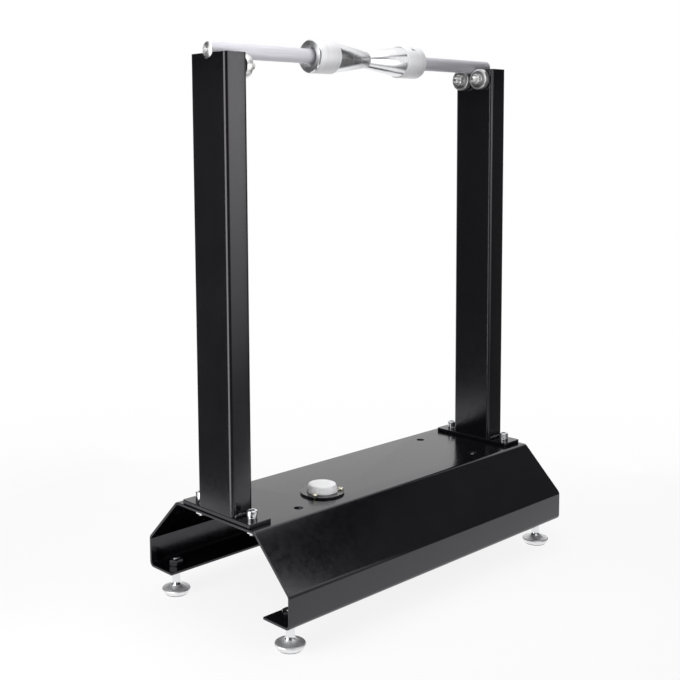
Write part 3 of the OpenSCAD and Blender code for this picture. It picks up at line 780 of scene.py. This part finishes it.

# The shields' dark finish paints the shade of their recess.
turning_parts = {"outer_ring": (outer_ring, ground_steel), "shields": (shield_pair, shaded_shield_steel)}
inner_rings, studs, outer_nuts, tube_nuts = (bmesh.new() for _ in range(4))
for corner in CORNERS:
    at = bearing_place(corner)
    place(inner_rings, inner_ring, at)
    place(studs, stud, at)
    place(outer_nuts, nut, at @ Matrix.Translation((0, 0, -half - M6_NUT)))
    place(tube_nuts, nut, at @ Matrix.Translation((0, 0, TUBE_NUT_AT)))
    for part, (section, finish) in turning_parts.items():
        shape = bmesh.new()
        place(shape, section, at)
        piece(f"bearing_{part}_{corner}", shape, finish, "bearing_" + corner, "plain_steel",
              f"{part}_{corner}")
for shape in (outer_ring, inner_ring, shield_pair, inward_shield, stud, tip, nut):
    shape.free()
piece("inner_rings_ground", inner_rings, ground_steel, "frame", "plain_steel", "bearing_inner_rings")
piece("threaded_studs", studs, ground_steel, "frame", "plain_steel", "bearing_studs")
piece("bearing_hex_nuts", outer_nuts, ground_steel, "frame", "zinc_steel", "bearing_nuts")
piece("tube_hex_nuts", tube_nuts, zinc, "frame", "zinc_steel", "stud_inner_nuts")

# %% [markdown]
# ## Axle and cones
# The axle is a plain bar with chamfered ends and the small centre hole that the lathe's tailstock leaves.
# A cone is a long taper behind a collar, and one radial set screw holds it. Both are spun about their own
# axis and laid along the stand. For the set screw's hole, a patch of the collar's wall is taken out, its
# rim is extruded onto a circle that follows the curve of the wall, and the circle is pushed in to a flat
# bottom.
# The taper and the back chamfer are polished, the collar's wall is nearly matt and its back is faced, so
# the cone's faces get three finishes.

# %% Axle
AXLE_RADIUS = 7.0
axle_low, axle_high = size_of("axle")
half_axle = (axle_high.x - axle_low.x) / 2
rod_half = [
    (0, half_axle - 1.9), (0.5, half_axle - 1.4), (1.3, half_axle - 0.02), (1.5, half_axle), (5.9, half_axle),
    (6.1, half_axle - 0.07), (6.93, half_axle - 0.9), (AXLE_RADIUS, half_axle - 1.1)]
rod = spun([(r, -x) for r, x in rod_half] + list(reversed(rod_half)), steps=96)
for face in rod.faces:
    face.material_index = 1 if abs(face.calc_center_median().z) > half_axle - 1.0 else 0
rod.transform(Matrix.Translation(AXLE_MIDDLE / MM) @ TO_RIGHT)
axle_rod = piece("axle_rod", rod, axle_alloy, "axle", "turned_aluminium", "axle")
axle_rod.data.materials.append(faced_alloy)

# %% Cones
NOSE, TAPER_END, COLLAR_END = 0.5, 48.5, 77.0
NOSE_RADIUS, TAPER_RADIUS, COLLAR_RADIUS, BORE = 8.3, 15.2, 16.0, 7.05
CHAMFER_IN, CHAMFER_OUT, CHAMFER_LONG = 14.6, 15.9, 1.3
RECESS, RECESS_DEPTH = 10.2, 5.0
SET_SCREW_AT = 62.75
SET_SCREW_RADIUS = 3.05
HOLE_PATCH = 4.2
PATCH_TURN = math.radians(14)


def centring_cone(side, sign, screw_turn):
    """A cone that points to the middle of the axle; screw_turn says how far its screw leans to the front."""
    section = [
        (BORE, NOSE + 0.3), (BORE + 0.3, NOSE), (8.1, NOSE), (NOSE_RADIUS, NOSE + 0.2),
        (TAPER_RADIUS, TAPER_END), (15.6, TAPER_END), (15.9, TAPER_END + 0.1),
        (COLLAR_RADIUS, TAPER_END + 0.4),
        (COLLAR_RADIUS, SET_SCREW_AT - HOLE_PATCH), (COLLAR_RADIUS, SET_SCREW_AT + HOLE_PATCH),
        (COLLAR_RADIUS, COLLAR_END - 1.5), (15.85, COLLAR_END - 1.2), (14.8, COLLAR_END - 0.12),
        (14.5, COLLAR_END), (RECESS + 0.2, COLLAR_END), (RECESS, COLLAR_END - 0.2),
        (RECESS, COLLAR_END - RECESS_DEPTH), (BORE, COLLAR_END - RECESS_DEPTH), (BORE, NOSE + 0.3)]
    shape = spun(section, steps=72)
    patch_x = 0.99 * COLLAR_RADIUS * math.cos(PATCH_TURN)
    patch = [f for f in shape.faces
             if abs(f.calc_center_median().z - SET_SCREW_AT) < 1 and f.calc_center_median().x > patch_x]
    rim = [e for f in patch for e in f.edges if sum(g in patch for g in e.link_faces) == 1]
    bmesh.ops.delete(shape, geom=patch, context="FACES")
    sides = [e for e in rim if abs(e.verts[0].co.z - e.verts[1].co.z) > 1]
    ends = [e for e in rim if e not in sides]
    for v in pulled(shape, ends + split(shape, sides, cuts=len(ends) // 2 - 1)):
        y, z = Vector((v.co.y, v.co.z - SET_SCREW_AT)).normalized() * SET_SCREW_RADIUS
        v.co = (math.sqrt(COLLAR_RADIUS ** 2 - y ** 2), y, SET_SCREW_AT + z)
    for v in pulled(shape, open_edges(shape)):
        v.co.x = BORE + 0.03
    bmesh.ops.holes_fill(shape, edges=open_edges(shape))
    for face in shape.faces:
        middle = face.calc_center_median()
        out = math.hypot(middle.x, middle.y)
        on_taper = NOSE + 1 < middle.z < TAPER_END and out > BORE + 0.5
        on_chamfer = middle.z > COLLAR_END - CHAMFER_LONG and CHAMFER_IN < out < CHAMFER_OUT
        on_back = middle.z > COLLAR_END - RECESS_DEPTH - 0.5 and out < CHAMFER_IN
        face.material_index = 1 if on_taper or on_chamfer else 2 if on_back else 0
    up_turn = Matrix.Rotation(math.radians(screw_turn if sign < 0 else 180 + screw_turn), 4, "Z")
    lie = Matrix.Rotation(math.radians(90 * sign), 4, "Y")
    shape.transform(Matrix.Translation((0, 0, AXLE_Z)) @ lie @ up_turn)
    cone = piece(side + "_centring_cone", shape, collar_alloy, side + "_cone", "turned_aluminium",
                 side + "_cone")
    cone.data.materials.append(taper_alloy)
    cone.data.materials.append(faced_alloy)
    return cone


centring_cone("left", -1, 0)
centring_cone("right", 1, 35)

# %% [markdown]
# ## Level
# A bull's-eye level stands on a rubber pad near the left post: a smoke-grey flange held by three small
# screws, a milky cup, spirit with a bubble, and a domed window with round shoulders and a ring mark under
# it. The flange is drilled like the base; the cup, the window, the ring mark and the screws are spun, and the
# pad, the spirit and the bubble keep their solids.

# %% Level
flange_low, flange_high = size_of("level_flange")
cup_low, cup_high = size_of("level_cup")
window_low, window_high = size_of("level_window")
LEVEL = Matrix.Translation((LEVEL_X, LEVEL_Y, 0))
FLANGE_RADIUS, FLANGE_HOLE = 21.5, 1.55
CUP_FLOOR, CUP_RIM, DOME_RISE = 1.5, 13.5, 1.3


def level_piece(name, profile, finish, slot, *stands_for):
    """A spun piece on the level's own axis."""
    shape = spun(profile, steps=96)
    shape.transform(LEVEL)
    return piece(name, shape, finish, "frame", slot, *stands_for)


flange = bmesh.new()
bmesh.ops.create_circle(flange, cap_ends=True, segments=96, radius=FLANGE_RADIUS,
                        matrix=Matrix.Translation((LEVEL_X, LEVEL_Y, flange_high.z)))
for x, y in LEVEL_SCREWS:
    drill(flange, Vector((x, y, flange_high.z)), FLANGE_HOLE, room=2.2)
piece("level_smoke_flange", flange, smoke, "frame", "clear_window", "level_flange",
      wall=flange_high.z - flange_low.z, inside=flange_low, edge=0.25)

foot, rim, floor = cup_low.z, cup_high.z, cup_low.z + CUP_FLOOR
level_piece("level_milky_cup", [
    (0, foot), (14.7, foot), (15, foot + 0.3), (14.95, foot + 1.0), (14.6, foot + 2.4), (14.1, rim - 1.6),
    (13.7, rim - 0.6), (CUP_RIM, rim - 0.05), (13.4, rim), (12.1, rim), (12, rim - 0.1), (12, floor + 0.3),
    (11.7, floor), (0, floor)], milky, "white_cup", "level_cup")

DOME_RADIUS = (CUP_RIM ** 2 + DOME_RISE ** 2) / (2 * DOME_RISE)
dome_base = window_high.z - DOME_RISE
dome = [(r, window_high.z - DOME_RADIUS + math.sqrt(DOME_RADIUS ** 2 - r * r))
        for r in (0, 2, 4, 6, 8, 10, 11.2)]
level_piece("level_domed_window", [
    (0, window_low.z), (13.4, window_low.z), (CUP_RIM, window_low.z + 0.05), (13.3, dome_base - 0.4),
    (12.9, dome_base - 0.05), (12.2, dome_base + 0.2), *reversed(dome)],
    frosted, "clear_window", "level_window")

ink = new_finish("ring_ink", (0.02, 0.02, 0.02), Roughness=0.5)
tint(ink, mottle(ink, 2), (0.015, 0.015, 0.016), (0.03, 0.03, 0.031))
ink_low, ink_high = floor + 0.005, floor + 0.04
level_piece("level_ring_mark", [
    (4.9, ink_low), (5.3, ink_low), (5.3, ink_high), (4.9, ink_high), (4.9, ink_low)], ink, "level_rubber")

screw_low, screw_high = size_of("level_screws")
button = socket_screw(head_radius=2.8, head_height=screw_high.z - flange_high.z, shoulder=1.3, flats=2,
                      depth=1.3)
shank = thread(radius=1.48, pitch=0.5, low=screw_low.z, high=flange_high.z + INTO_HEAD)
screws = bmesh.new()
for x, y in LEVEL_SCREWS:
    place(screws, button, Matrix.Translation((x, y, flange_high.z)))
    place(screws, shank, Matrix.Translation((x, y, 0)))
button.free()
shank.free()
piece("level_button_screws", screws, yellow_zinc, "frame", "zinc_steel", "level_screws")

# %% [markdown]
# ## Levelling feet
# Each foot is a chromed disc, pressed onto a stud that screws into a nut on the flange. The disc is spun
# from a section with a rounded rim, whose top sweeps up into the stud. The stud is plain where it leaves
# the disc and threaded above. The nuts get the base's black coat, which paints the shade inside the channels.

# %% Levelling feet
disc_low, disc_high = size_of("foot_disc_left_front")
stud_top = size_of("foot_stud_left_front")[1].z
RIM_RADIUS, RIM_Z, RIM_ROUND = 14.0, 4.7, 1.5
SPIGOT, SOCKET_FLOOR, PAD_HOLLOW = 3.05, 2.5, 11.05
FOOT_THREAD, FOOT_PITCH, FOOT_NUT_FLATS, FOOT_NUT_BORE = 3.98, 1.25, 13, 4.05
rim = [(RIM_RADIUS - RIM_ROUND * (1 - math.cos(turn)), RIM_Z + RIM_ROUND * math.sin(turn))
       for turn in map(math.radians, range(-50, 81, 10))]
disc = spun([
    (SPIGOT, SOCKET_FLOOR), (PAD_HOLLOW, SOCKET_FLOOR), (PAD_HOLLOW, disc_low.z), (11.7, disc_low.z),
    (12.0, disc_low.z + 0.2), *rim,
    (11.0, RIM_Z + 1.75), (9.0, RIM_Z + 2.25), (7.4, RIM_Z + 2.95), (6.2, RIM_Z + 3.75),
    (5.4, disc_high.z - 0.3), (5.2, disc_high.z), (SPIGOT, disc_high.z), (SPIGOT, SOCKET_FLOOR)], steps=96)
plain_stud = spun([
    (0, 2.6), (2.95, 2.6), (2.95, 9.45), (5.15, 9.5), (4.7, 10.2), (4.3, 11.2), (4.05, 12.4), (4.0, 13.2),
    (4.0, 20.6), (3.4, 21.2), (0, 21.2)], steps=64)
tip = thread(FOOT_THREAD, FOOT_PITCH, 20.4, stud_top)
nut_low, nut_high = size_of("foot_nuts")
nut = hex_nut(FOOT_NUT_FLATS, nut_high.z - nut_low.z, FOOT_NUT_BORE)
foot_nuts = bmesh.new()
for corner in CORNERS:
    at = Matrix.Translation((-FOOT_X if corner.startswith("left") else FOOT_X,
                             -FOOT_Y if corner.endswith("front") else FOOT_Y, 0))
    shape = bmesh.new()
    place(shape, disc, at)
    piece("foot_dished_disc_" + corner, shape, satin_chrome, "foot_" + corner, "bright_chrome",
          "foot_disc_" + corner)
    shape = bmesh.new()
    place(shape, plain_stud, at)
    place(shape, tip, at)
    piece("foot_threaded_stud_" + corner, shape, chrome, "foot_" + corner, "bright_chrome",
          "foot_stud_" + corner)
    place(foot_nuts, nut, at @ Matrix.Translation((0, 0, nut_low.z)))
for shape in (disc, plain_stud, tip, nut):
    shape.free()
# The black coat on these nuts paints the shade inside the channels where they sit.
piece("flange_hex_nuts", foot_nuts, black_coat, "frame", "black_coat", "foot_nuts")

# %% [markdown]
# ## Studio
# The photograph is a white sweep in a dim room: the floor and what lies behind the stand are white, a
# soft light stands on each side of the camera, and between them it is dark. A black gloss coat shows
# nothing but its surroundings, so the room matters as much as the paint: grey screens keep the posts and
# slopes dark, the white behind is what the base top mirrors, and the right-hand light, brighter towards
# its top, draws the band that fades down the near post. A short strip light gives the polished taper its
# bright band, and two soft lamps, one overhead and one in front, lift the axle, the collars and the
# level.
# The screens and lights stay out of the camera's sight. The floor takes a faint shadow close by and runs
# out into white further off.

# %% Floor
def stage_material(name):
    """A material with only an output, for the floor and the screens."""
    material = bpy.data.materials.new(name)
    material.use_nodes = True
    material.node_tree.nodes.remove(material.node_tree.nodes["Principled BSDF"])
    return material, material.node_tree, material.node_tree.nodes["Material Output"]


def stage_object(name, shape, material):
    """A thing of the studio, which isn't part of the stand."""
    mesh = bpy.data.meshes.new(name)
    shape.to_mesh(mesh)
    shape.free()
    mesh.materials.append(material)
    thing = bpy.data.objects.new(name, mesh)
    bpy.context.scene.collection.objects.link(thing)
    return thing


sweep, tree, output = stage_material("white_sweep")
paper = add_node(tree, "BsdfDiffuse", Color=(0.86, 0.86, 0.86, 1))
lift = add_node(tree, "Emission")
rays = add_node(tree, "LightPath")
seen = add_node(tree, "Math", "MAXIMUM")
seen_too = add_node(tree, "Math", "MAXIMUM")
spot = add_node(tree, "TexCoord")
away = add_node(tree, "VectorMath", "LENGTH")
run_out = add_node(tree, "MapRange", From_Min=0.30, From_Max=0.90, To_Min=0.86, To_Max=1.0)
share = add_node(tree, "Math", "MULTIPLY")
both = add_node(tree, "MixShader")
wire(tree,
     (rays, "Is Camera Ray", seen, 0), (rays, "Is Glossy Ray", seen, 1), (seen, "Value", seen_too, 0),
     (rays, "Is Transmission Ray", seen_too, 1), (spot, "Object", away, 0), (away, "Value", run_out, "Value"),
     (run_out, "Result", share, 0), (seen_too, "Value", share, 1), (share, "Value", both, "Fac"),
     (paper, "BSDF", both, 1), (lift, "Emission", both, 2), (both, "Shader", output, "Surface"))

ground = bmesh.new()
bmesh.ops.create_circle(ground, cap_ends=True, segments=96, radius=4)
studio_floor = stage_object("studio_floor", ground, sweep)
print("floor of", round(studio_floor.dimensions.x, 2), "m")

# %% Screens
SCREEN_RADIUS, SCREEN_TOP = 0.50, 0.95
OPEN_FROM, OPEN_TO = -4, 86


def graded_glow(name, start, low, full, high):
    """A glow that changes with height, from low at start to high at full."""
    glow, tree, output = stage_material(name)
    spot = add_node(tree, "TexCoord")
    parts = add_node(tree, "SeparateXYZ")
    climb = add_node(tree, "MapRange", From_Min=start, From_Max=full, To_Min=low, To_Max=high)
    light = add_node(tree, "Emission")
    wire(tree, (spot, "Object", parts, "Vector"), (parts, "Z", climb, "Value"),
         (climb, "Result", light, "Strength"), (light, "Emission", output, "Surface"))
    return glow


wall = bmesh.new()
upright = line_of(wall, [(SCREEN_RADIUS, 0, 0.002), (SCREEN_RADIUS, 0, SCREEN_TOP)])
bmesh.ops.rotate(wall, verts=wall.verts, cent=(0, 0, 0),
                 matrix=Matrix.Rotation(math.radians(OPEN_TO), 3, "Z"))
spin_round(wall, upright, math.radians(360 - (OPEN_TO - OPEN_FROM)), steps=60)
screen_glow = graded_glow("screen_grey", start=0.48, low=0.12, full=0.58, high=0.02)
screens = stage_object("grey_screens", wall, screen_glow)
screens.visible_camera = False
print("screens", SCREEN_TOP, "m high")

# %% Lights
def soft_panel(name, start, end, bottom, top, glow):
    """An upright soft light between two places on the floor."""
    shape = bmesh.new()
    drawn_out(shape, line_of(shape, [(*start, bottom), (*end, bottom)]), (0, 0, top - bottom))
    panel = stage_object(name, shape, glow)
    panel.visible_camera = False
    return panel


right_glow = graded_glow("right_glow", start=0.12, low=0.36, full=0.50, high=2.5)
left_glow = graded_glow("left_glow", start=0.0, low=3.5, full=0.40, high=4.0)
strip_glow = graded_glow("strip_glow", start=0.50, low=0.85, full=0.70, high=1.1)
soft_panel("right_soft_light", (-0.23, -0.43), (0.20, -0.367), bottom=0.004, top=0.60, glow=right_glow)
soft_panel("left_soft_light", (-0.46, 0.12), (-0.46, -0.10), bottom=0.02, top=0.80, glow=left_glow)
soft_panel("strip_light", (0.08, -0.243), (0.29, -0.211), bottom=0.50, top=0.70, glow=strip_glow)


def soft_lamp(name, spot, aim, size, level):
    """A square lamp that looks as bright as a sheet of this level, turned to face a place."""
    light = bpy.data.lights.new(name, "AREA")
    light.shape = "SQUARE"
    light.size = size
    light.energy = level * math.pi * size ** 2
    lamp = bpy.data.objects.new(name, light)
    lamp.location = spot
    lamp.rotation_euler = (Vector(aim) - Vector(spot)).to_track_quat("-Z", "Y").to_euler()
    lamp.visible_camera = False
    bpy.context.scene.collection.objects.link(lamp)


soft_lamp("overhead_soft_light", spot=(0, 0, 1.6), aim=(0, 0, 0), size=0.9, level=1.2)
soft_lamp("front_soft_light", spot=(-0.16, -0.40, 0.82), aim=(0, 0, 0.3), size=0.5, level=1.5)

WHITE = (1, 1, 1, 1)
room = bpy.data.worlds.new("white_room")
room.use_nodes = True
set_values(room.node_tree.nodes["Background"], {"Color": WHITE, "Strength": 1.0})
bpy.context.scene.world = room
print("three soft panels, two lamps and a white room")
